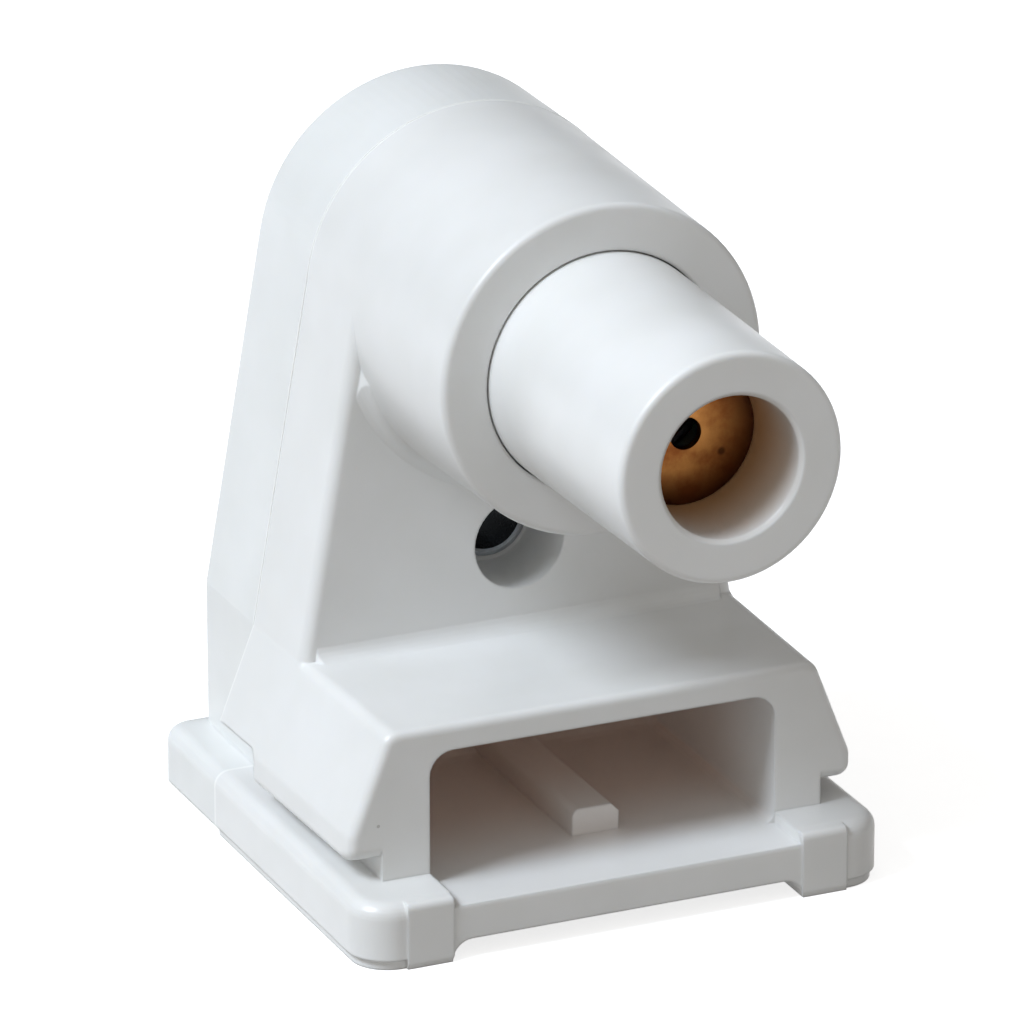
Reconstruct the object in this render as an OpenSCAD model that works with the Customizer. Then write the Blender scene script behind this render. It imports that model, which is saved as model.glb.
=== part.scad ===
// Spring-loaded end holder for a single-pin fluorescent tube. A white moulded housing stands on a
// slotted foot that slides onto sheet metal. A hollow plunger slides in its barrel against a coil
// spring and carries the contact that meets the lamp pin. Millimetres, +Z up, the lamp lies towards -Y.

/* [Lamp pin socket] */
// Radius of the bore that takes the lamp pin
pin_bore_r = 5.1; // [4.6:0.1:5.6]
// Depth from the plunger's tip to the contact
pin_bore_depth = 7.35; // [6:0.05:9]
// How much the plunger narrows towards its tip, in radius
nose_taper = 0.35; // [0.2:0.05:0.6]
// Rounding of the plunger's tip
tip_edge_r = 0.45; // [0.2:0.05:0.8]
// Radius of the plunger where it leaves the barrel
nose_r = 8.6; // [8.4:0.05:8.8]
// Length of plunger that stands out of the barrel at rest
nose_reach = 20.7; // [16:0.1:24]
// How far a lamp can push the plunger in
travel = 11; // [8:0.5:12]

/* [Plunger guide] */
// Height of the guiding collar at the plunger's rear end
collar_step = 1.8; // [1.6:0.05:1.9]
// Length of that collar along the barrel
collar_len = 4; // [3:0.5:5]
// Radial clearance of the collar in its bore
collar_gap = 0.08; // [0.04:0.01:0.1]
// Radial gap round the plunger at the barrel's mouth
mouth_gap = 0.1; // [0.06:0.01:0.3]
// Thickness of the wall that stops the collar
stop_wall = 3; // [2:0.25:4]
// Room left behind the collar when it is pushed fully in
end_gap = 0.5; // [0.3:0.1:1]

/* [Barrel and upright] */
// Height of the lamp axis above the underside
axis_h = 40.1; // [38:0.1:44]
// Wall of the barrel round the collar's bore, at its front edge
barrel_wall = 1.62; // [1.4:0.02:1.9]
// Rounding of that edge
barrel_edge_r = 0.45; // [0.2:0.05:0.8]
// Draft angle of the front moulding in degrees
draft = 1.45; // [1:0.05:2.5]
// Distance from the barrel's front face to the upright's front face
upright_y = 14.2; // [11:0.1:16]
// Distance from the barrel's front face to the parting line
seam_y = 22.6; // [21:0.1:25]
// Radius of the blend where the barrel and foot meet the upright
blend_r = 1.3; // [0.6:0.1:1.6]
// Rounding of the upright's front edges
upright_edge_r = 0.8; // [0.4:0.1:1.2]

/* [Foot box] */
// Height of the foot box's flat top
foot_top = 15.85; // [15:0.05:18]
// Set-back of the foot box's top from the flange's sides
foot_inset = 3.75; // [3:0.05:4.5]
// How far the foot box starts in front of the barrel
foot_lead = 0.3; // [0:0.1:1]
// Rounding of the foot box's front edges
front_edge_r = 0.6; // [0.3:0.1:0.8]
// Rounding of the foot box's top edges
foot_edge_r = 1.2; // [0.9:0.1:1.6]
// Height of the bend where the slanted side ends
lip_bend = 8.5; // [8.3:0.1:9.4]
// Rounding of that bend
bend_r = 1.5; // [1:0.1:2]
// Set-back of the lips from the flange's sides, at the barrel's front face
lip_inset = 0.9; // [0.6:0.05:1.4]
// Rounding of the lips' lower edges
lip_r = 0.85; // [0.65:0.05:1]

/* [Sheet metal groove] */
// Height of the groove that slides onto the sheet
groove_h = 1.25; // [1:0.05:1.6]
// Depth of the groove under the lip
groove_depth = 2.4; // [1.8:0.05:3]
// Length of the lead-in at the groove's mouth
lead_in = 1.7; // [1:0.1:2.5]
// Rise of that lead-in
lead_rise = 0.7; // [0.4:0.05:1]
// Length of the relief at the groove's rear end
relief_len = 6.25; // [3:0.05:8]
// Height to which the lip is cut away over that relief
relief_top = 8.85; // [8:0.05:9]
// Rounding of the relief's front end
relief_r = 0.8; // [0.4:0.1:1.4]

/* [Flange] */
// Height of the flange's top
flange_t = 4.92; // [4.5:0.02:5.4]
// Half width of the flange
flange_half = 20.2; // [19.4:0.05:21]
// How far the flange runs out in front of the barrel
flange_lead = 4.8; // [3.5:0.01:7]
// How far the flange runs out behind the cover
flange_tail = 1.3; // [0.5:0.1:2]
// Rounding of the flange's front corners
corner_r = 3; // [1.6:0.1:3.4]
// Rounding of the flange's rear corners
tail_corner_r = 2; // [1.4:0.1:3]
// Rounding of the flange's top edge
flange_edge_r = 1.1; // [0.5:0.1:1.3]
// Height of the rim under the front moulding
rim_h = 0.75; // [0.5:0.05:1.1]
// Inset of that rim
rim_inset = 0.3; // [0.2:0.05:0.6]
// Height of the arch under the flange
arch_h = 1.5; // [1.2:0.1:1.8]
// Width of each foot beside the arch
foot_w = 6.7; // [5:0.1:8]
// How far the two front pads stand proud
pad_proud = 0.12; // [0.05:0.01:0.4]
// Rounding of the pads' upper and lower edges
pad_edge_r = 0.5; // [0.2:0.1:0.8]

/* [Front window] */
// Thickness of the foot box's walls beside the window
window_wall = 3.15; // [2.5:0.05:4]
// Height of the window's top edge
window_top = 13.95; // [12.5:0.05:14.2]
// Rounding of the window's top corners
window_r = 1.8; // [1:0.1:3]
// Height of the window's floor
window_floor = 4.1; // [3.6:0.05:4.5]
// Rounding where the floor meets the side walls
floor_r = 0.8; // [0.3:0.1:1.5]
// Wall between the room behind the window and the parting line
partition = 1.4; // [1:0.1:4]
// Rounding of that room's rear edges
room_r = 2; // [0.5:0.1:2.5]
// Width of the key rib on the window's floor
rib_w = 3.6; // [2:0.1:4.5]
// Offset of that rib from the middle
rib_x = 1; // [0:0.05:3]
// Height of that rib
rib_h = 2; // [1.2:0.1:3]
// Chamfer along one side of that rib
rib_chamfer = 0.6; // [0.3:0.1:0.8]
// Distance from the window's face to the rib's front end
rib_start = 3.6; // [2:0.1:6]

/* [Rear cover] */
// Length of the cover from the parting line to its back
cover_len = 9.4; // [8.6:0.1:12]
// How far the cover stands out beyond the front moulding at the parting line
cover_step = 0.03; // [0:0.01:0.15]
// Thickness of the cover's back wall
back_wall = 1.65; // [1.2:0.05:2.5]
// Rounding of the cover's back edges
cover_edge_r = 0.6; // [0.3:0.1:1]
// Clearance of the ring that centres the cover in the bore
register_gap = 0.1; // [0.05:0.05:0.2]
// Radius of the room behind the spring
spring_room_r = 9; // [8.2:0.1:9.2]

/* [Rivet] */
// Height of the rivet that holds the cover
rivet_z = 22.4; // [21.8:0.1:23]
// Radius of the recess round each rivet head
rivet_recess_r = 3.46; // [3.3:0.02:3.8]
// Depth of the recess in the upright's front face
rivet_recess = 5.8; // [3:0.1:6.5]
// Depth of the recess in the cover's back
back_recess = 2; // [1:0.1:3]
// Outer radius of the rivet's tube
rivet_r = 2.7; // [2.2:0.05:2.8]
// Wall of the rivet's tube
rivet_wall = 0.25; // [0.2:0.05:0.5]
// Radius of the rivet's rolled heads
rivet_head_r = 3; // [2.9:0.05:3.2]
// Thickness of the rolled heads
rivet_head_t = 0.45; // [0.35:0.05:0.6]

/* [Contact and spring] */
// Thickness of the brass of the contact cup
cup_t = 0.6; // [0.4:0.05:0.8]
// Radius of the seat for the cup inside the plunger
cup_seat_r = 6.5; // [6.3:0.05:6.7]
// Length of the cup's skirt
cup_len = 3; // [2:0.1:5]
// Radius of the hole in the middle of the contact
cup_hole_r = 1.17; // [0.8:0.01:1.5]
// Radius of the spring's wire
wire_r = 0.42; // [0.3:0.02:0.45]
// Mean radius of the spring's coils
coil_r = 5.2; // [5:0.05:5.3]
// Number of open coils
coils = 11; // [8:1:13]

/* [Terminal] */
// Thickness of the brass terminal strip
strip_t = 0.6; // [0.4:0.05:0.8]
// Radius of the plate behind the spring
plate_r = 7.6; // [7:0.1:8]
// Half width of the strip's foot
strip_half = 10; // [9:0.1:10.8]
// Distance of each wire entry from the middle
entry_x = 6; // [4.5:0.1:7]
// Radius of each wire entry
entry_r = 1.4; // [1.1:0.05:1.5]
// Thickness of the sheet of the wire clip
clip_t = 0.4; // [0.3:0.05:0.5]
// Height of the clip's bend above the floor of its room
clip_lift = 3.4; // [3:0.1:4]
// Radius of that bend
clip_bend_r = 1; // [0.8:0.05:1.2]
// Slope of the clip's tines in degrees
tine_slope = 48; // [40:1:55]
// Gap between the two tines
tine_gap = 2.4; // [1.5:0.1:4]

/* [Hidden] */
eps = 0.01;
$fn = 96;
white = "#e8ebeb";
cover_white = "#e4e8e9";
nose_white = "#eef1f1";
brass = "#b5823f";
steel = "#b9bcbe";
// Plunger and barrel, all from the plunger's root
nose_tip_r = nose_r - nose_taper;
collar_r = nose_r + collar_step;
bore_r = collar_r + collar_gap;
mouth_r = nose_r + mouth_gap;
barrel_r = bore_r + barrel_wall;
// Half widths of the foot, all from the flange
foot_half = flange_half - foot_inset;
lip_half = flange_half - lip_inset;
neck_half = lip_half - groove_depth;
arch_half = flange_half - foot_w;
window_half = foot_half - window_wall;
// Places along Y, from the barrel's front face; the front moulding is trimmed back from trim_y
flange_front = -flange_lead + pad_proud;
window_end = seam_y - partition;
trim_y = seam_y + 1;
cover_back = seam_y + cover_len;
flange_back = cover_back + flange_tail;
inner_back = cover_back - back_wall;
// Shift that puts the middle of the whole length on the origin
shift_y = (nose_reach - flange_back) / 2;
// Height of the lamp axis above the foot box, and the tilt of the tangent that joins the two
rise = axis_h - foot_top;
flare = acos(barrel_r / norm([foot_half, rise])) - atan2(rise, foot_half);
// Lean of the foot box's sides
slant = atan2(lip_half - side_at(0), foot_top - lip_bend);
// Underside of the lips
lip_under = flange_t + groove_h;
// Ring that centres the cover and stops the collar
collar_end = stop_wall + collar_len;
register_len = seam_y - collar_end - travel - end_gap;
// Contact, spring and plate along the lamp axis
contact_y = -nose_reach + pin_bore_depth;
plate_y = inner_back - strip_t;
spring_y0 = contact_y + cup_t;
spring_len = plate_y - spring_y0;
// Rivet, the bosses round it and the room beside them
rivet_front = upright_y + rivet_recess;
rivet_back = cover_back - back_recess;
boss_r = rivet_recess_r + 0.9;
room_wall = 1.2;
chamber_half = strip_half + 2 * room_wall;
clip_y = seam_y;

// Radius of the drafted barrel at a distance from its front face
function barrel_at(y) = barrel_r + y * tan(draft);
// Half width of the drafted upright at the height of the foot box's top
function side_at(y) = (barrel_at(y) + rise * sin(flare)) / cos(flare);
// Half width of the drafted lips
function lip_at(y) = side_at(y) + lip_half - side_at(0);
// Points of an arc in the plane
function arc(cx, cy, r, a0, a1, n = 8) =
    [for (i = [0:n]) [cx + r * cos(a0 + (a1 - a0) * i / n), cy + r * sin(a0 + (a1 - a0) * i / n)]];
// A right half outline, from its foot up, followed by its mirror image
function mirrored(half) =
    concat(half, [for (i = [len(half) - 1:-1:0]) [-half[i][0], half[i][1]]]);

// Turns a shape made along +Z so that it runs along +Y from y at height z
module along_y(y, z = axis_h, x = 0) {
    translate([x, y, z])
        rotate([-90, 0, 0])
            children();
}

// Extrudes a profile drawn in X and Z from y over a length
module sheet_xz(y, len) {
    translate([0, y + len, 0])
        rotate([90, 0, 0])
            linear_extrude(len)
                children();
}

// Extrudes a profile drawn in Y and Z from x over a length
module sheet_yz(x, len) {
    translate([x, 0, 0])
        rotate([90, 0, 90])
            linear_extrude(len)
                children();
}

// Solid through outlines in X and Z that follow one another along Y, each with as many points.
// Where two outlines share points at the same place, the side there has no height and is left out.
module loft(outlines) {
    n = len(outlines[0][1]);
    last = len(outlines) - 1;
    spots = [for (o = outlines) for (p = o[1]) [p[0], o[0], p[1]]];
    sides = [
        for (k = [0:last - 1])
            for (i = [0:n - 1])
                for (t = [
                    [k * n + i, k * n + (i + 1) % n, (k + 1) * n + (i + 1) % n],
                    [k * n + i, (k + 1) * n + (i + 1) % n, (k + 1) * n + i]
                ])
                    if (norm(spots[t[0]] - spots[t[2]]) > eps / 10
                        && norm(spots[t[1]] - spots[t[2]]) > eps / 10)
                        if (norm(spots[t[0]] - spots[t[1]]) > eps / 10)
                            t
    ];
    polyhedron(
        points = spots,
        faces = concat([[for (i = [n - 1:-1:0]) i]], sides, [[for (i = [0:n - 1]) last * n + i]])
    );
}

// Flange over its whole length, with a soft top edge
module flange_blank() {
    hull()
        for (a = [0:15:90])
            flange_slice(flange_t - flange_edge_r * (1 - sin(a)) - eps, eps, flange_edge_r * (1 - cos(a)));
    hull()
        flange_slice(0, flange_t - flange_edge_r, 0);
}

module flange_slice(z, h, inset) {
    for (x = [-1, 1]) {
        translate([x * (flange_half - corner_r), flange_front + corner_r, z])
            cylinder(r = corner_r - inset, h = h, $fn = 64);
        translate([x * (flange_half - tail_corner_r), flange_back - tail_corner_r, z])
            cylinder(r = tail_corner_r - inset, h = h, $fn = 48);
    }
}

// Waste outside the inset rim, which goes round the front moulding apart from its pads
module rim_cut() {
    y0 = flange_front + corner_r;
    difference() {
        translate([-flange_half - 1, flange_front - 1, -1])
            cube([2 * flange_half + 2, seam_y - flange_front + 2, rim_h + 1]);
        for (x = [-1, 1])
            translate([x * (flange_half - corner_r), y0, -2])
                cylinder(r = corner_r - rim_inset, h = rim_h + 3);
        translate([-flange_half + corner_r, flange_front + rim_inset, -2])
            cube([2 * (flange_half - corner_r), seam_y - flange_front + 2, rim_h + 3]);
        translate([-flange_half + rim_inset, y0, -2])
            cube([2 * (flange_half - rim_inset), seam_y - y0 + 2, rim_h + 3]);
        translate([-neck_half, -flange_lead - 1, -2])
            cube([2 * neck_half, flange_lead, rim_h + 3]);
    }
}

// Arch under the flange, between the feet
module arch_cut() {
    r = arch_h;
    sheet_xz(-flange_lead - 1, flange_back + flange_lead + 2)
        polygon(mirrored(concat([[arch_half, -1]], arc(arch_half - r, 0, r, 0, 90))));
}

// Two flat pads on the flange's front face, with soft edges above and below
module front_pads() {
    r = pad_edge_r;
    top = flange_t - 0.02;
    for (x = [-1, 1])
        sheet_yz(x > 0 ? arch_half - 0.1 : -neck_half, neck_half - arch_half + 0.1)
            polygon(concat(
                [[0, 0], [0, top]],
                arc(-flange_lead + r, top - r, r, 90, 180, 5),
                arc(-flange_lead + r, r, r, 180, 270, 5)
            ));
}

// Foot box with slanted sides that end in the two lips, and with a lead-in under each lip's front
// end. From upright_y on it carries the upright, whose sides are tangent to the barrel. There the
// rounding of its top edges (grow 0) runs out into a straight ridge (grow 1).
function body_outline(y, inset, grow, high) =
    let (
        under = lip_under + lead_rise * max(0, 1 - (y + foot_lead) / lead_in),
        t = foot_edge_r / tan((90 + slant) / 2),
        rounded = arc(side_at(y) - t, foot_top - foot_edge_r, foot_edge_r - inset, slant, 90, 7),
        first = rounded[0],
        ridge = [side_at(y), foot_top],
        r = barrel_at(y) - 0.05,
        edge = upright_edge_r * (1 - grow)
    )
    mirrored(concat(
        arc(lip_at(y) - lip_r, under + lip_r, max(lip_r - inset, eps), -90, 0, 6),
        arc(lip_at(y) - bend_r, lip_bend - bend_r * tan(slant / 2), bend_r - inset, 0, slant, 3),
        [for (i = [0:7]) (1 - grow) * rounded[i] + grow * (first + (ridge - first) * i / 7)],
        [[r * cos(flare) - edge, high ? axis_h + r * sin(flare) : rounded[7][1]]]
    ));

module foot_and_upright() {
    e = front_edge_r;
    loft(concat(
        [for (a = [90:-18:0])
            let (y = -foot_lead + e * (1 - sin(a))) [y, body_outline(y, e * (1 - cos(a)), 0, false)]],
        [for (y = [-foot_lead + lead_in, upright_y]) [y, body_outline(y, 0, 0, false)]],
        [for (a = [90:-15:0])
            let (y = upright_y + upright_edge_r * (1 - sin(a))) [y, body_outline(y, 0, cos(a), true)]],
        [[trim_y, body_outline(trim_y, 0, 1, true)]]
    ));
}

// Soft blend between the upright and the foot box, cut slantwise at its ends
function foot_blend(a) =
    let (
        h = blend_r * (1 - sin(a)) - 0.03,
        w = side_at(upright_y) - upright_edge_r - 0.15 - blend_r * (1 - cos(a)) / 2
    )
    mirrored([[w, foot_top - 0.5], [w - h * tan(flare), foot_top + h]]);

// Soft blend between the upright and the barrel, which runs out where the sides meet the barrel
function barrel_blend(a) =
    let (
        h = blend_r * (1 - sin(a)) - 0.03,
        d = blend_r * (1 - cos(a)),
        r = barrel_at(upright_y - d),
        reach = barrel_at(upright_y) - upright_edge_r - 0.15 - d / 2,
        inner = flare - acos(reach / (r - 0.05)),
        outer = flare - acos(reach / (r + h))
    )
    concat(
        arc(0, axis_h, r + h, -180 - outer, outer, 40),
        arc(0, axis_h, r - 0.05, inner, 180 - inner, 1)
    );

module blends() {
    loft(concat(
        [for (a = [90:-15:15]) [upright_y - blend_r * (1 - cos(a)), foot_blend(a)]],
        [[upright_y + 0.3, foot_blend(0)]]
    ));
    loft(concat(
        [for (a = [90:-15:15]) [upright_y - blend_r * (1 - cos(a)), barrel_blend(a)]],
        [[upright_y + 0.3, barrel_blend(0)]]
    ));
}

// Barrel with a softly rounded front edge, not yet bored
module barrel() {
    e = barrel_edge_r;
    along_y(0)
        rotate_extrude()
            polygon(concat(
                [[0, trim_y], [0, 0], [barrel_r - e, 0]],
                arc(barrel_r - e, e, e, -72, 0, 4),
                [[barrel_at(trim_y), trim_y]]
            ));
}

// Open room behind the front window, rounded at its rear, with the channel that leads out of it
function window_outline(inset) =
    let (
        w = window_half - inset,
        low = window_floor + inset,
        high = window_top - inset
    )
    mirrored(concat(
        arc(w - floor_r, low + floor_r, floor_r, -90, 0, 4),
        arc(w - window_r, high - window_r, window_r, 0, 90, 6)
    ));

module window_cut() {
    loft(concat(
        [[-foot_lead - 1, window_outline(0)]],
        [for (a = [0:18:90]) [window_end - room_r * (1 - sin(a)), window_outline(room_r * (1 - cos(a)))]]
    ));
    translate([-window_half, -flange_lead - 1, window_floor])
        cube([2 * window_half, flange_lead + 1 - foot_lead, flange_t]);
}

// Key rib on the window's floor, with one chamfered and one rounded top edge
module key_rib() {
    y0 = -foot_lead + rib_start;
    x0 = rib_x - rib_w / 2;
    x1 = rib_x + rib_w / 2;
    top = window_floor + rib_h;
    r = rib_chamfer;
    sheet_xz(y0, window_end - y0 + 0.5)
        polygon(concat(
            [[x0, window_floor - 0.5], [x1, window_floor - 0.5],
                [x1, top - rib_chamfer], [x1 - rib_chamfer, top]],
            arc(x0 + r, top - r, r, 90, 180, 5)
        ));
}

// Waste of the reliefs that cut the lips away at the grooves' rear ends
module relief_cut() {
    w = flange_half - neck_half;
    y0 = seam_y - relief_len;
    for (x = [-1, 1])
        sheet_yz(x > 0 ? neck_half : -neck_half - w, w)
            polygon(concat(
                [[seam_y + 1, relief_top], [seam_y + 1, lip_under - 0.2], [y0, lip_under - 0.2]],
                arc(y0 + relief_r, relief_top - relief_r, relief_r, 180, 90)
            ));
}

// Rooms that core out the upright beside the rivet
module upright_rooms() {
    x0 = boss_r + room_wall;
    x1 = chamber_half - 1.5 * room_wall;
    z0 = foot_top + room_wall;
    z1 = axis_h - bore_r - 2 * room_wall;
    for (x = [x0, -x1])
        translate([x, upright_y + 2, z0])
            cube([x1 - x0, seam_y, z1 - z0]);
}

module front_housing() {
    color(white)
        difference() {
            union() {
                barrel();
                foot_and_upright();
                blends();
                translate([-neck_half, -foot_lead, flange_t - 1])
                    cube([2 * neck_half, trim_y + foot_lead, groove_h + 3]);
                flange_blank();
                front_pads();
            }
            translate([-flange_half - 1, seam_y, -1])
                cube([2 * flange_half + 2, flange_back, axis_h + barrel_r + 4]);
            relief_cut();
            rim_cut();
            arch_cut();
            along_y(-1)
                cylinder(r = mouth_r, h = stop_wall + 1 + eps);
            along_y(-eps)
                cylinder(r1 = mouth_r + 0.15, r2 = mouth_r, h = 0.15);
            along_y(stop_wall)
                cylinder(r = bore_r, h = seam_y);
            difference() {
                window_cut();
                key_rib();
            }
            along_y(upright_y - 1, rivet_z)
                cylinder(r = rivet_recess_r, h = rivet_recess + 1, $fn = 64);
            along_y(upright_y, rivet_z)
                cylinder(r = rivet_r + 0.1, h = seam_y, $fn = 64);
            upright_rooms();
        }
}

// Outline of the rear cover, round above and square below
function cover_outline(inset) =
    let (
        r = barrel_at(seam_y) + cover_step - inset,
        w = side_at(seam_y) + cover_step - inset,
        a = acos(r / norm([w, rise])) - atan2(rise, w)
    )
    mirrored(concat([[w, flange_t - 1.5], [w, foot_top]], arc(0, axis_h, r, a, 89, 20)));

module rear_cover() {
    color(cover_white)
        difference() {
            union() {
                loft(concat(
                    [[seam_y, cover_outline(0)]],
                    [for (a = [0:18:90])
                        [cover_back - cover_edge_r * (1 - sin(a)),
                            cover_outline(cover_edge_r * (1 - cos(a)))]]
                ));
                intersection() {
                    flange_blank();
                    translate([-flange_half - 1, seam_y, rim_h])
                        cube([2 * flange_half + 2, flange_back - seam_y + 1, flange_t + 1]);
                }
                along_y(seam_y - register_len)
                    cylinder(r = bore_r - register_gap, h = register_len + 1);
            }
            arch_cut();
            along_y(seam_y - register_len - 1)
                cylinder(r = spring_room_r, h = inner_back - seam_y + register_len + 1);
            difference() {
                union() {
                    translate([-chamber_half, seam_y - 1, window_floor])
                        cube([2 * chamber_half, inner_back - seam_y + 1,
                            rivet_z - window_floor - boss_r - room_wall]);
                    translate([-strip_half - 0.6, seam_y - 1, window_floor])
                        cube([2 * strip_half + 1.2, inner_back - seam_y + 1,
                            axis_h - bore_r - window_floor - 1.5]);
                    translate([entry_x - 2.2, plate_y - 2, window_floor])
                        cube([4.4, inner_back - plate_y + 2, axis_h - window_floor]);
                }
                along_y(seam_y - 2, rivet_z)
                    cylinder(r = boss_r, h = cover_len + 4, $fn = 64);
            }
            along_y(seam_y - 1, rivet_z)
                cylinder(r = rivet_r + 0.1, h = cover_len + 2, $fn = 64);
            along_y(rivet_back, rivet_z)
                cylinder(r = rivet_recess_r, h = back_recess + 1, $fn = 64);
            for (x = [-1, 1]) {
                translate([x * entry_x, plate_y - entry_r - 0.2, arch_h - 1])
                    cylinder(r = entry_r, h = window_floor - arch_h + 2, $fn = 48);
                translate([x * entry_x, plate_y - entry_r - 0.2, arch_h - eps])
                    cylinder(r1 = entry_r + 0.5, r2 = entry_r, h = 0.5, $fn = 48);
            }
        }
}

// Hollow plunger with a tapered nose, a chamfered pin bore and a collar behind the stop wall
module plunger() {
    e = tip_edge_r;
    c = 0.3;
    color(nose_white)
        along_y(0)
            rotate_extrude()
                polygon(concat(
                    [[pin_bore_r + c, -nose_reach]],
                    arc(nose_tip_r - e, -nose_reach + e, e, -90, 0, 6),
                    [
                        [nose_r, -c],
                        [nose_r, stop_wall],
                        [collar_r - c, stop_wall],
                        [collar_r, stop_wall + c],
                        [collar_r, collar_end - c],
                        [collar_r - c, collar_end],
                        [cup_seat_r, collar_end],
                        [cup_seat_r, contact_y],
                        [pin_bore_r, contact_y],
                        [pin_bore_r, -nose_reach + c]
                    ]
                ));
}

// Pressed brass cup whose floor is the contact and whose skirt holds the spring
module contact_cup() {
    r = cup_seat_r;
    e = 0.4;
    color(brass)
        along_y(contact_y)
            rotate_extrude()
                polygon(concat(
                    [[cup_hole_r, 0]],
                    arc(r - e, e, e, -90, 0, 4),
                    [[r, cup_len], [r - cup_t, cup_len], [r - cup_t, cup_t], [cup_hole_r, cup_t]]
                ));
}

// Round wire swept along a helix whose first and last turns lie closed
module plunger_spring() {
    sides = 8;
    steps = 20;
    closed = 1.25;
    turns = coils + 2 * closed;
    rings = round(turns * steps);
    pitch = 2 * wire_r + 0.05;
    open_len = spring_len - 2 * wire_r - 2 * closed * pitch;
    function rise_at(t) =
        t < closed ? t * pitch :
        t < turns - closed ? closed * pitch + (t - closed) * open_len / coils :
        closed * pitch + open_len + (t - turns + closed) * pitch;
    function ring_point(i, j) =
        let (t = i * turns / rings, a = 360 * t, b = 360 * j / sides, r = coil_r + wire_r * cos(b))
        [r * cos(a), r * sin(a), wire_r + rise_at(t) + wire_r * sin(b)];
    color(steel)
        along_y(spring_y0)
            polyhedron(
                points = [for (i = [0:rings]) for (j = [0:sides - 1]) ring_point(i, j)],
                faces = concat(
                    [[for (j = [0:sides - 1]) j]],
                    [for (i = [0:rings - 1]) for (j = [0:sides - 1])
                        [i * sides + j, (i + 1) * sides + j,
                            (i + 1) * sides + (j + 1) % sides, i * sides + (j + 1) % sides]],
                    [[for (j = [sides - 1:-1:0]) rings * sides + j]]
                )
            );
}

// Flat brass stamping that backs the spring and runs down to the wire entries
module terminal_strip() {
    foot_z = window_floor + 1.4;
    head_z = rivet_z - boss_r - 0.7;
    color(brass)
        difference() {
            union() {
                along_y(plate_y)
                    cylinder(r = plate_r, h = strip_t);
                along_y(plate_y - 0.7)
                    cylinder(r = coil_r - wire_r - 0.3, h = 0.7 + strip_t / 2);
                translate([boss_r + 0.3, plate_y, foot_z + 1])
                    cube([strip_half - boss_r - 0.3, strip_t, axis_h - bore_r - foot_z - 2.6]);
                translate([entry_x - 1.7, plate_y, axis_h - bore_r - 3])
                    cube([3.4, strip_t, bore_r + 3]);
                translate([-strip_half, plate_y, foot_z])
                    cube([2 * strip_half, strip_t, head_z - foot_z]);
            }
            along_y(plate_y - 2)
                cylinder(r = coil_r - wire_r - 1.2, h = 2);
            along_y(plate_y - 1, rivet_z)
                cylinder(r = boss_r + 0.2, h = strip_t + 2, $fn = 64);
        }
}

// Bent steel leaf with two tines that grip the wires against the strip
module wire_clip() {
    r = clip_bend_r;
    t = clip_t / 2;
    yc = clip_y + t + r;
    zc = window_floor + clip_lift;
    top_z = rivet_z - boss_r - 1.9;
    a = 270 + tine_slope;
    run = (plate_y - 0.3 - yc - r * cos(a)) / cos(tine_slope);
    tip = [yc + r * cos(a) + run * cos(tine_slope), zc + r * sin(a) + run * sin(tine_slope)];
    n = [sin(tine_slope) * t, -cos(tine_slope) * t];
    color(steel)
        difference() {
            sheet_yz(-strip_half + 1, 2 * strip_half - 2)
                polygon(concat(
                    [[clip_y, top_z]],
                    arc(yc, zc, r + t, 180, a, 10),
                    [tip + n, tip - n],
                    arc(yc, zc, r - t, a, 180, 10),
                    [[clip_y + clip_t, top_z]]
                ));
            translate([-tine_gap / 2, clip_y + clip_t + 0.5, 0])
                cube([tine_gap, cover_len, axis_h]);
        }
}

// Hollow rivet with two rolled heads
module hollow_rivet() {
    h = rivet_head_t;
    inner = rivet_r - rivet_wall;
    c = 0.2;
    color(steel)
        along_y(0, rivet_z)
            rotate_extrude($fn = 64)
                polygon(concat(
                    arc(rivet_head_r - h / 2, rivet_front - h / 2, h / 2, 90, -90, 6),
                    [[inner + c, rivet_front - h], [inner, rivet_front - h + c]],
                    [[inner, rivet_back + h - c], [inner + c, rivet_back + h]],
                    arc(rivet_head_r - h / 2, rivet_back + h / 2, h / 2, 90, -90, 6),
                    [[rivet_r, rivet_back], [rivet_r, rivet_front]]
                ));
}

translate([0, shift_y, 0]) {
    front_housing();
    rear_cover();
    plunger();
    contact_cup();
    plunger_spring();
    terminal_strip();
    wire_clip();
    hollow_rivet();
}
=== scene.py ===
"""A spring-loaded end holder for a single-pin fluorescent tube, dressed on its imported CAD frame."""
import math

import bpy
from mathutils import Matrix, Vector


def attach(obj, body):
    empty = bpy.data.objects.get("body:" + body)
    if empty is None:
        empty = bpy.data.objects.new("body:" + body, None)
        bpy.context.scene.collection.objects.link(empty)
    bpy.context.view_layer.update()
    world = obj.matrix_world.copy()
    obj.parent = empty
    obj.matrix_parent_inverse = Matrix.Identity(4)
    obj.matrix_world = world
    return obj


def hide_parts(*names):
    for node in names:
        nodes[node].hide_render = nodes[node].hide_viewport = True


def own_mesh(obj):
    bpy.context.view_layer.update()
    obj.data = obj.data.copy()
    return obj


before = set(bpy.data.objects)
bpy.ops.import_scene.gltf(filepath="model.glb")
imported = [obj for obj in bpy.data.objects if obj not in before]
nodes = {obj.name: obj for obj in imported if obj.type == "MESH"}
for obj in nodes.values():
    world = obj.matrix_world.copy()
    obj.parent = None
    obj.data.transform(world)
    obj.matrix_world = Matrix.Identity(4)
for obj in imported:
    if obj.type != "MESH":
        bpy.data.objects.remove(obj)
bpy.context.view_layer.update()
scene = bpy.context.scene
MM = 0.001

# Front housing: barrel, upright, foot box and the front of the flange in one piece. It is urea
# formaldehyde, compression moulded in a polished tool, and the rivet clamps it to the rear cover.
# Moulded urea is dense and hard: it shows soft broad highlights, faint cloudiness and dark flecks.


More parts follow.
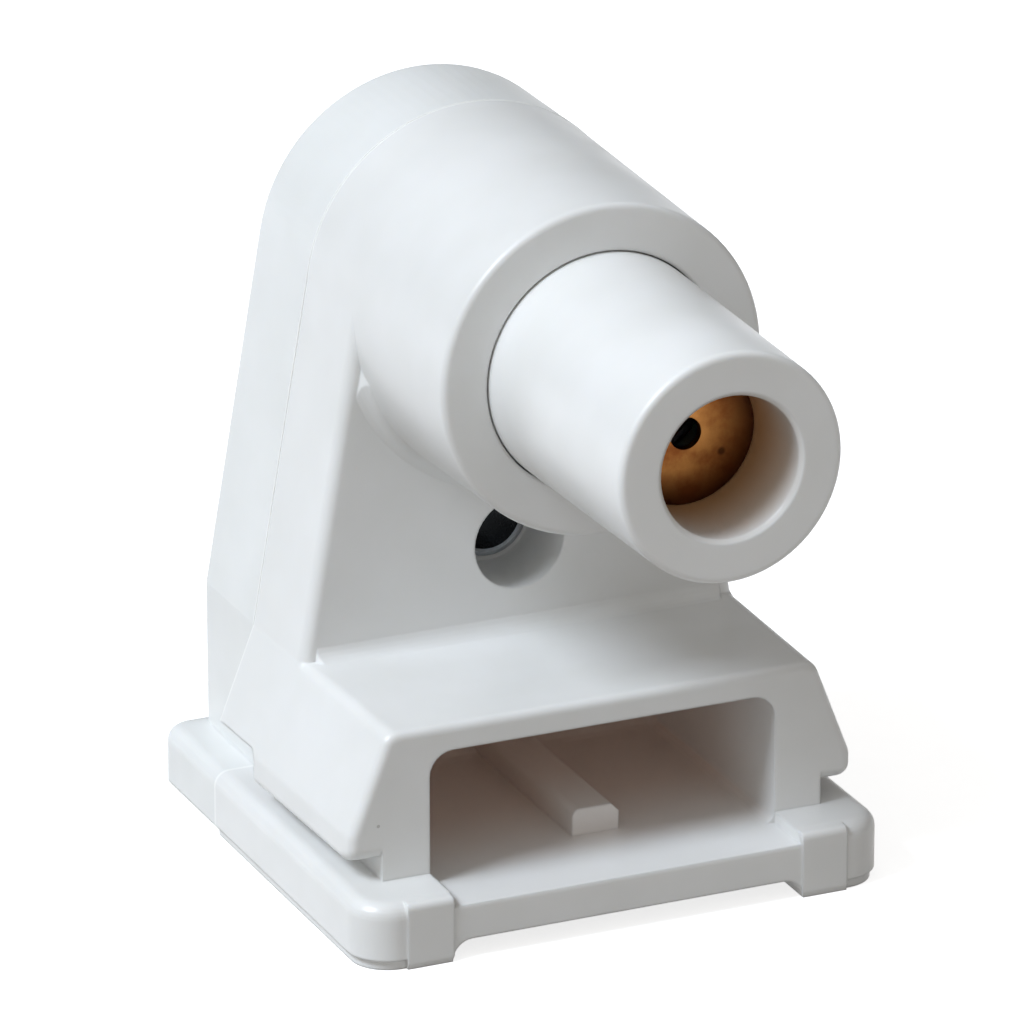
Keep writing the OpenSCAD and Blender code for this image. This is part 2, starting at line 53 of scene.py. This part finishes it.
def linear(hex_code):
    """sRGB hex to a linear colour with full opacity."""
    channels = [int(hex_code[i:i + 2], 16) / 255 for i in (1, 3, 5)]
    return (*[c / 12.92 if c <= 0.04045 else ((c + 0.055) / 1.055) ** 2.4 for c in channels], 1.0)


def add(tree, kind, inputs=None, **settings):
    """One node: its settings, then its inputs, each a value or the output that feeds it."""
    made = tree.nodes.new("ShaderNode" + kind)
    for name, value in settings.items():
        setattr(made, name, value)
    for name, value in (inputs or {}).items():
        if isinstance(value, bpy.types.NodeSocket):
            tree.links.new(value, made.inputs[name])
        else:
            made.inputs[name].default_value = value
    return made


def per_metre(size_mm):
    """Texture scale that repeats once in a real size."""
    return 1.0 / (size_mm * MM)


def new_material(name):
    made = bpy.data.materials.new(name)
    made.use_nodes = True
    made.node_tree.nodes.clear()
    return made, made.node_tree


def reach(node, axis):
    """Least and greatest place of a CAD node along an axis, in mm."""
    places = [corner.co[axis] / MM for corner in nodes[node].data.vertices]
    return min(places), max(places)


# Parting line between the two mouldings along Y, and height of the lamp's axis
SEAM_Y = reach("front_housing", 1)[1]
AXIS_Z = sum(reach("plunger", 2)) / 2
# Width over which a mask of painted shade fades out at a plane
FADE = 0.3


def within(tree, place, low_mm, high_mm, axis):
    """1 between two planes across an axis, fading out at both."""
    along = add(tree, "SeparateXYZ", {"Vector": place}).outputs[axis]
    over = add(tree, "MapRange", {"Value": along, "From Min": (low_mm - FADE / 2) * MM,
                                  "From Max": (low_mm + FADE / 2) * MM})
    under = add(tree, "MapRange", {"Value": along, "From Min": (high_mm + FADE / 2) * MM,
                                   "From Max": (high_mm - FADE / 2) * MM})
    return add(tree, "Math", {0: over.outputs[0], 1: under.outputs[0]}, operation="MULTIPLY").outputs[0]


def off_axis(tree, place, height_mm):
    """Distance from a line along Y at a height."""
    moved = add(tree, "Mapping", {"Vector": place, "Location": (0, 0, -height_mm * MM), "Scale": (1, 0, 1)})
    return add(tree, "VectorMath", {0: moved.outputs["Vector"]}, operation="LENGTH").outputs["Value"]


# What the eye finds in moulded urea, in mm: clouds in the filler, cells that may each hold a fleck
# of burnt powder, marks from handling, and the faint ripple that polishing leaves in the tool
CLOUD, FLECK_CELL, HANDLING_MARK, RIPPLE, RIPPLE_HEIGHT = 9, 4.2, 5, 2.5, 0.006
# A fleck's radius as a share of its cell, the share of cells with none, and how strongly one shows
FLECK_R, NO_FLECK, FLECK_SHOWS = 0.042, 0.8, 0.45
# The two tools meet in a sharp edge at the parting line. Half the width of the painted highlight
# along it, a paler line in the colour, and the distance at which edges are soft again, in mm
SEAM_HIGHLIGHT_HALF, SOFT_AGAIN = 0.2, 0.5


def moulded_urea(name, shade, cloud, roughness, bevel_mm, seed, painted_shade_mask=None, painted_shade_tint="#ffffff"):
    """White urea moulding: cloudy filler, sparse flecks, edges as soft as the tool's, and a painted
    highlight along the parting line. Where a shade mask is given, its tint is mixed in as painted shade."""
    made, tree = new_material(name)
    place = add(tree, "TexCoord").outputs["Object"]
    moved = add(tree, "Mapping", {"Vector": place, "Location": (seed * 0.013, seed * 0.007, seed * 0.019)})
    where = moved.outputs["Vector"]
    clouds = add(tree, "TexNoise", {"Vector": where, "Scale": per_metre(CLOUD), "Detail": 3.0})
    ramp = add(tree, "ValToRGB", {"Fac": clouds.outputs["Fac"]})
    ramp.color_ramp.elements[0].position = 0.35
    ramp.color_ramp.elements[0].color = linear(cloud)
    ramp.color_ramp.elements[1].position = 0.65
    ramp.color_ramp.elements[1].color = linear(shade)
    cells = add(tree, "TexVoronoi", {"Vector": where, "Scale": per_metre(FLECK_CELL), "Randomness": 1.0})
    near = add(tree, "Math", {0: cells.outputs["Distance"], 1: FLECK_R}, operation="LESS_THAN")
    few = add(tree, "SeparateColor", {"Color": cells.outputs["Color"]})
    chosen = add(tree, "Math", {0: few.outputs["Red"], 1: NO_FLECK}, operation="GREATER_THAN")
    fleck = add(tree, "Math", {0: near.outputs[0], 1: chosen.outputs[0]}, operation="MULTIPLY")
    faint = add(tree, "Math", {0: fleck.outputs[0], 1: FLECK_SHOWS}, operation="MULTIPLY")
    flecked = add(tree, "Mix", {0: faint.outputs[0], 6: ramp.outputs["Color"], 7: linear("#7c766c")},
                  data_type="RGBA")
    colour = flecked.outputs[2]
    # Painted shade: the mask mixes a warm tint into the colour in a recess
    if painted_shade_mask:
        shaded_colour = add(tree, "Mix", {0: painted_shade_mask(tree, place), 6: colour, 7: linear(painted_shade_tint)}, data_type="RGBA")
        colour = shaded_colour.outputs[2]
    marks = add(tree, "TexNoise", {"Vector": where, "Scale": per_metre(HANDLING_MARK), "Detail": 4.0})
    gloss = add(tree, "MapRange", {"Value": marks.outputs["Fac"], "From Min": 0.3, "From Max": 0.7,
                                   "To Min": roughness - 0.05, "To Max": roughness + 0.07})
    depth = add(tree, "SeparateXYZ", {"Vector": place}).outputs["Y"]
    from_seam = add(tree, "Math", {0: depth, 1: SEAM_Y * MM}, operation="SUBTRACT")
    apart = add(tree, "Math", {0: from_seam.outputs[0]}, operation="ABSOLUTE")
    edge = add(tree, "MapRange", {"Value": apart.outputs[0], "From Min": SEAM_HIGHLIGHT_HALF / 2 * MM,
                                  "From Max": SOFT_AGAIN * MM, "To Max": bevel_mm * MM})
    # Painted highlight: the colour turns paler along the parting line
    painted_highlight = add(tree, "MapRange", {"Value": apart.outputs[0], "From Min": SEAM_HIGHLIGHT_HALF * MM,
                                    "From Max": SEAM_HIGHLIGHT_HALF / 4 * MM, "To Max": 0.7})
    pale = add(tree, "Mix", {0: painted_highlight.outputs[0], 6: colour, 7: linear("#fafaf7")}, data_type="RGBA")
    soft = add(tree, "Bevel", {"Radius": edge.outputs[0]}, samples=6)
    ripple = add(tree, "TexNoise", {"Vector": where, "Scale": per_metre(RIPPLE), "Detail": 2.0})
    bump = add(tree, "Bump", {"Height": ripple.outputs["Fac"], "Distance": RIPPLE_HEIGHT * MM, "Strength": 1.0,
                              "Normal": soft.outputs["Normal"]})
    skin = add(tree, "BsdfPrincipled", {"Base Color": pale.outputs[2], "Roughness": gloss.outputs[0],
                                        "Normal": bump.outputs["Normal"], "IOR": 1.56})
    skin.inputs["Subsurface Weight"].default_value = 0.08
    skin.inputs["Subsurface Radius"].default_value = (1.0, 0.8, 0.6)
    skin.inputs["Subsurface Scale"].default_value = 1.2 * MM
    add(tree, "OutputMaterial", {"Surface": skin.outputs[0]})
    return made


def dress(node, made):
    """Gives a CAD node its finish."""
    mesh = nodes[node].data
    mesh.materials.clear()
    mesh.materials.append(made)


# The room behind the window: half its width, its floor and its top, and the depths along Y between
# which painted shade deepens in it
ROOM_HALF, ROOM_FLOOR, ROOM_TOP = 13.3, 3.9, 14.2
ROOM_SHADE_FROM, ROOM_SHADE_FULL = -6.4, 4


def room_painted_shade(tree, place):
    """Painted shade that grows with depth in the room behind the window."""
    depth = add(tree, "SeparateXYZ", {"Vector": place}).outputs["Y"]
    deep = add(tree, "MapRange", {"Value": depth, "From Min": ROOM_SHADE_FROM * MM, "From Max": ROOM_SHADE_FULL * MM})
    across = within(tree, place, -ROOM_HALF, ROOM_HALF, "X")
    up = within(tree, place, ROOM_FLOOR, ROOM_TOP, "Z")
    room = add(tree, "Math", {0: across, 1: up}, operation="MULTIPLY")
    return add(tree, "Math", {0: room.outputs[0], 1: deep.outputs[0]}, operation="MULTIPLY").outputs[0]


# The warm tint that darkens the room behind the window with depth is painted shade
dress("front_housing", moulded_urea("urea_white_moulded", "#e8e8e7", "#e3e3e1", 0.34, 0.28, 1,
                                    room_painted_shade, "#e6d4c9"))

# Plunger: a hollow sliding nose with a collar behind, moulded in the same white urea. It is held
# by the stop wall in front of its collar, and sliding has polished its outside a little.
TIP_Y = reach("plunger", 1)[0]
# Radius that takes in the pin bore, and depths behind the tip between which painted shade and a painted
# reflection of the brass deepen on its wall
BORE_R = 5.3
BORE_SHADE_FROM, BORE_SHADE_FULL = 0.2, 6.5


def bore_painted_shade(tree, place):
    """Painted shade and brass reflection, growing with depth in the pin bore from just inside its mouth."""
    depth = add(tree, "SeparateXYZ", {"Vector": place}).outputs["Y"]
    deep = add(tree, "MapRange", {"Value": depth, "From Min": (TIP_Y + BORE_SHADE_FROM) * MM,
                                  "From Max": (TIP_Y + BORE_SHADE_FULL) * MM, "To Min": 0.05})
    inside = add(tree, "Math", {0: off_axis(tree, place, AXIS_Z), 1: BORE_R * MM}, operation="LESS_THAN")
    return add(tree, "Math", {0: inside.outputs[0], 1: deep.outputs[0]}, operation="MULTIPLY").outputs[0]


# The brown tint inside the pin bore is painted shade and a painted reflection of the brass
dress("plunger", moulded_urea("urea_white_polished", "#ececeb", "#e7e7e5", 0.33, 0.3, 5,
                              bore_painted_shade, "#d0ae84"))

# Contact cup: a shallow cup pressed from brass sheet, seated in the plunger with its skirt round
# the spring. Brass in an arcing lamp contact turns brown, with dark spots; its colour is darker
# towards the rim.
# Radius of the contact that shows in the bore, and the width of its dark rim
CONTACT_R, DARK_RIM = 5.1, 2.4
# Clouds and spots of tarnish, and how unevenly the rim's edge runs, in mm
TARNISH_CLOUD, TARNISH_SPOT, RIM_WOBBLE = 3, 1.5, 1.6


def tarnished_brass(name, bright, brown, spot, rim_mm=None, seed=0):
    """Rolled brass that has darkened in use, with brown clouds and dark spots; darker towards a rim if one is
    given.
    """
    made, tree = new_material(name)
    place = add(tree, "TexCoord").outputs["Object"]
    moved = add(tree, "Mapping", {"Vector": place, "Location": (seed * 0.011, seed * 0.017, seed * 0.005)})
    where = moved.outputs["Vector"]
    clouds = add(tree, "TexNoise", {"Vector": where, "Scale": per_metre(TARNISH_CLOUD), "Detail": 5.0,
                                    "Roughness": 0.6})
    ramp = add(tree, "ValToRGB", {"Fac": clouds.outputs["Fac"]})
    ramp.color_ramp.elements[0].position = 0.38
    ramp.color_ramp.elements[0].color = linear(brown)
    ramp.color_ramp.elements[1].position = 0.62
    ramp.color_ramp.elements[1].color = linear(bright)
    colour = ramp.outputs["Color"]
    if rim_mm:
        wobble = add(tree, "Math", {0: clouds.outputs["Fac"], 1: RIM_WOBBLE * MM, 2: -RIM_WOBBLE / 2 * MM},
                     operation="MULTIPLY_ADD")
        edge = add(tree, "Math", {0: off_axis(tree, place, AXIS_Z), 1: wobble.outputs[0]}, operation="ADD")
        ring = add(tree, "MapRange", {"Value": edge.outputs[0], "From Min": (rim_mm - DARK_RIM) * MM,
                                      "From Max": rim_mm * MM})
        dark = add(tree, "Mix", {0: ring.outputs[0], 6: colour, 7: linear(spot)}, data_type="RGBA")
        colour = dark.outputs[2]
    cells = add(tree, "TexVoronoi", {"Vector": where, "Scale": per_metre(TARNISH_SPOT)})
    near = add(tree, "MapRange", {"Value": cells.outputs["Distance"], "From Min": 0.12, "From Max": 0.24,
                                  "To Min": 0.75, "To Max": 0.0})
    spotted = add(tree, "Mix", {0: near.outputs[0], 6: colour, 7: linear(spot)}, data_type="RGBA")
    gloss = add(tree, "MapRange", {"Value": clouds.outputs["Fac"], "To Min": 0.5, "To Max": 0.3})
    bump = add(tree, "Bump", {"Height": cells.outputs["Distance"], "Distance": 0.02 * MM, "Strength": 0.6})
    skin = add(tree, "BsdfPrincipled", {"Base Color": spotted.outputs[2], "Roughness": gloss.outputs[0],
                                        "Normal": bump.outputs["Normal"], "Metallic": 1.0})
    add(tree, "OutputMaterial", {"Surface": skin.outputs[0]})
    return made


dress("contact_cup", tarnished_brass("brass_pressed_tarnished", "#c08549", "#8d5229", "#4a2818",
                                     CONTACT_R, 2))

# Plunger spring: a compression spring coiled from round music wire, with closed ends, between the
# cup and the terminal strip. Drawn wire is bright, with fine lines along it.


def drawn_steel(name, bright, dull, line_mm, roughness, bore_mm=None, bore_z=0):
    """Bright steel with fine drawing lines and a little dulling, and painted shade inside a bore."""
    made, tree = new_material(name)
    place = add(tree, "TexCoord").outputs["Object"]
    lines = add(tree, "TexNoise", {"Vector": place, "Scale": per_metre(line_mm), "Detail": 6.0})
    tone = add(tree, "Mix", {0: lines.outputs["Fac"], 6: linear(dull), 7: linear(bright)}, data_type="RGBA")
    gloss = add(tree, "MapRange", {"Value": lines.outputs["Fac"], "To Min": roughness + 0.1,
                                   "To Max": roughness - 0.05})
    colour = tone.outputs[2]
    # Painted shade: near black inside the bore
    if bore_mm:
        inside = add(tree, "Math", {0: off_axis(tree, place, bore_z), 1: bore_mm * MM}, operation="LESS_THAN")
        dark = add(tree, "Mix", {0: inside.outputs[0], 6: colour, 7: linear("#1f262b")}, data_type="RGBA")
        colour = dark.outputs[2]
    skin = add(tree, "BsdfPrincipled", {"Base Color": colour, "Roughness": gloss.outputs[0], "Metallic": 1.0})
    add(tree, "OutputMaterial", {"Surface": skin.outputs[0]})
    return made


dress("plunger_spring", drawn_steel("spring_steel_drawn", "#c9cbce", "#8d8f93", 0.6, 0.28))
# The CAD spring has one length, so a copy with its own mesh stands in for it, attached to the housing.
spring = bpy.data.objects.new("coil_spring", nodes["plunger_spring"].data.copy())
scene.collection.objects.link(spring)
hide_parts("plunger_spring")
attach(spring, "housing")
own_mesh(spring)

# Terminal strip: a flat brass stamping that backs the spring and leads down to the wire entries.
# It lies against the cover's back wall and stays brighter than the contact.
dress("terminal_strip", tarnished_brass("brass_stamped", "#d0a05c", "#b5823f", "#7a5426", None, 7))

# Wire clip: a leaf of spring steel bent so that its two tines grip the wires against the strip. It
# was rolled, so its fine lines are wider and duller than the spring's.
dress("wire_clip", drawn_steel("spring_steel_rolled", "#b9bcbf", "#7e8185", 1.2, 0.34))

# Rear cover: the back of the upright and flange, moulded in the same white urea as the front. Its
# ring centres it in the bore, and its parting line shows as a fine step all round.
dress("rear_cover", moulded_urea("urea_white_moulded_cover", "#e7e8e7", "#e2e3e1", 0.35, 0.28, 9))

# Hollow rivet: a nickel-plated steel tube rolled over at both ends. Plating gives a cool, fairly
# sharp reflection on the rolled rim, and the tube's inside is painted near black as shade.
RIVET_Z = sum(reach("hollow_rivet", 2)) / 2
RIVET_BORE_R = 2.47
dress("hollow_rivet", drawn_steel("steel_nickel_plated", "#cfd3d8", "#9aa0a8", 0.8, 0.24,
                                  RIVET_BORE_R, RIVET_Z))

# Floor: a plain sheet of white paper under the holder. The camera, gloss and glass see it as white
# with a faint shadow, while the light that it throws back on the holder stays low.
FLOOR_HALF = 6.0
corners = [(x * FLOOR_HALF, y * FLOOR_HALF, 0) for x, y in ((-1, -1), (1, -1), (1, 1), (-1, 1))]
floor_mesh = bpy.data.meshes.new("floor")
floor_mesh.from_pydata(corners, [], [(0, 1, 2, 3)])
floor = bpy.data.objects.new("floor", floor_mesh)
scene.collection.objects.link(floor)


def seen(tree):
    """1 on rays from the camera, or by way of gloss or glass."""
    path = add(tree, "LightPath")
    either = add(tree, "Math", {0: path.outputs["Is Camera Ray"], 1: path.outputs["Is Glossy Ray"]},
                 operation="MAXIMUM")
    any_of = add(tree, "Math", {0: either.outputs[0], 1: path.outputs["Is Transmission Ray"]},
                 operation="MAXIMUM")
    return any_of.outputs[0]


floor_paper, tree = new_material("paper_white_matt")
grain = add(tree, "TexNoise", {"Vector": add(tree, "TexCoord").outputs["Object"], "Scale": per_metre(3)})
tone = add(tree, "Mix", {0: grain.outputs["Fac"], 6: linear("#dcdcdc"), 7: linear("#e2e2e2")}, data_type="RGBA")
shown = add(tree, "BsdfDiffuse", {"Color": tone.outputs[2]})
lift = add(tree, "Emission", {"Color": (1, 1, 1, 1), "Strength": 0.74})
pale = add(tree, "AddShader", {0: shown.outputs[0], 1: lift.outputs[0]})
thrown = add(tree, "BsdfDiffuse", {"Color": linear("#96918b")})
both = add(tree, "MixShader", {0: seen(tree), 1: thrown.outputs[0], 2: pale.outputs[0]})
add(tree, "OutputMaterial", {"Surface": both.outputs[0]})
floor_mesh.materials.append(floor_paper)

# Studio light: one broad cool key from high on the left, and a room that is brightest on the left,
# in front and above, and dim behind the object's right side. The camera sees it as plain white.
ROOM_BRIGHT_SIDE = (-0.58, -0.50, 0.64)
ROOM_DIM, ROOM_BRIGHT = 0.03, 0.57
room = bpy.data.worlds.new("room")
room.use_nodes = True
room.node_tree.nodes.clear()
scene.world = room
walls = room.node_tree
look = add(walls, "TexCoord").outputs["Generated"]
side = add(walls, "VectorMath", {0: look, 1: ROOM_BRIGHT_SIDE}, operation="DOT_PRODUCT")
glow = add(walls, "MapRange", {"Value": side.outputs["Value"], "From Min": -1.0, "To Min": ROOM_DIM,
                               "To Max": ROOM_BRIGHT})
lit = add(walls, "Background", {"Color": linear("#fdfbf8"), "Strength": glow.outputs[0]})
white = add(walls, "Background", {"Color": (1, 1, 1, 1), "Strength": 1.0})
straight = add(walls, "LightPath").outputs["Is Camera Ray"]
mixed = add(walls, "MixShader", {0: straight, 1: lit.outputs[0], 2: white.outputs[0]})
add(walls, "OutputWorld", {"Surface": mixed.outputs[0]})

KEY_FROM = Vector((-0.64, -0.06, 0.766))
key_data = bpy.data.lights.new("key", "SUN")
key_data.energy = 2.62
key_data.angle = math.radians(22)
key_data.color = linear("#eaf4ff")[:3]
key = bpy.data.objects.new("key", key_data)
key.rotation_mode = "QUATERNION"
key.rotation_quaternion = KEY_FROM.to_track_quat("Z", "Y")
scene.collection.objects.link(key)

# Camera: a long lens from the front left and above. Its place was fitted to the holder's edges in
# the photograph.
AZIMUTH, ELEVATION, ROLL = (math.radians(a) for a in (-23.954, 21.172, -0.074))
AIM = Vector((-6.894, -6.3, 30.797)) * MM
DISTANCE = 594.24 * MM
back = Vector((math.sin(AZIMUTH) * math.cos(ELEVATION), -math.cos(AZIMUTH) * math.cos(ELEVATION),
               math.sin(ELEVATION)))
level = Vector((math.cos(AZIMUTH), math.sin(AZIMUTH), 0))
upward = back.cross(level)
right = math.cos(ROLL) * level + math.sin(ROLL) * upward
camera_up = math.cos(ROLL) * upward - math.sin(ROLL) * level
camera_data = bpy.data.cameras.new("camera")
camera_data.sensor_width = 36.0
camera_data.lens = 303.1
camera_data.clip_start = 0.01
camera = bpy.data.objects.new("camera", camera_data)
turn = Matrix((right, camera_up, back)).transposed()
camera.matrix_world = Matrix.Translation(AIM + back * DISTANCE) @ turn.to_4x4()
scene.collection.objects.link(camera)
scene.camera = camera
scene.view_settings.view_transform = "Standard"
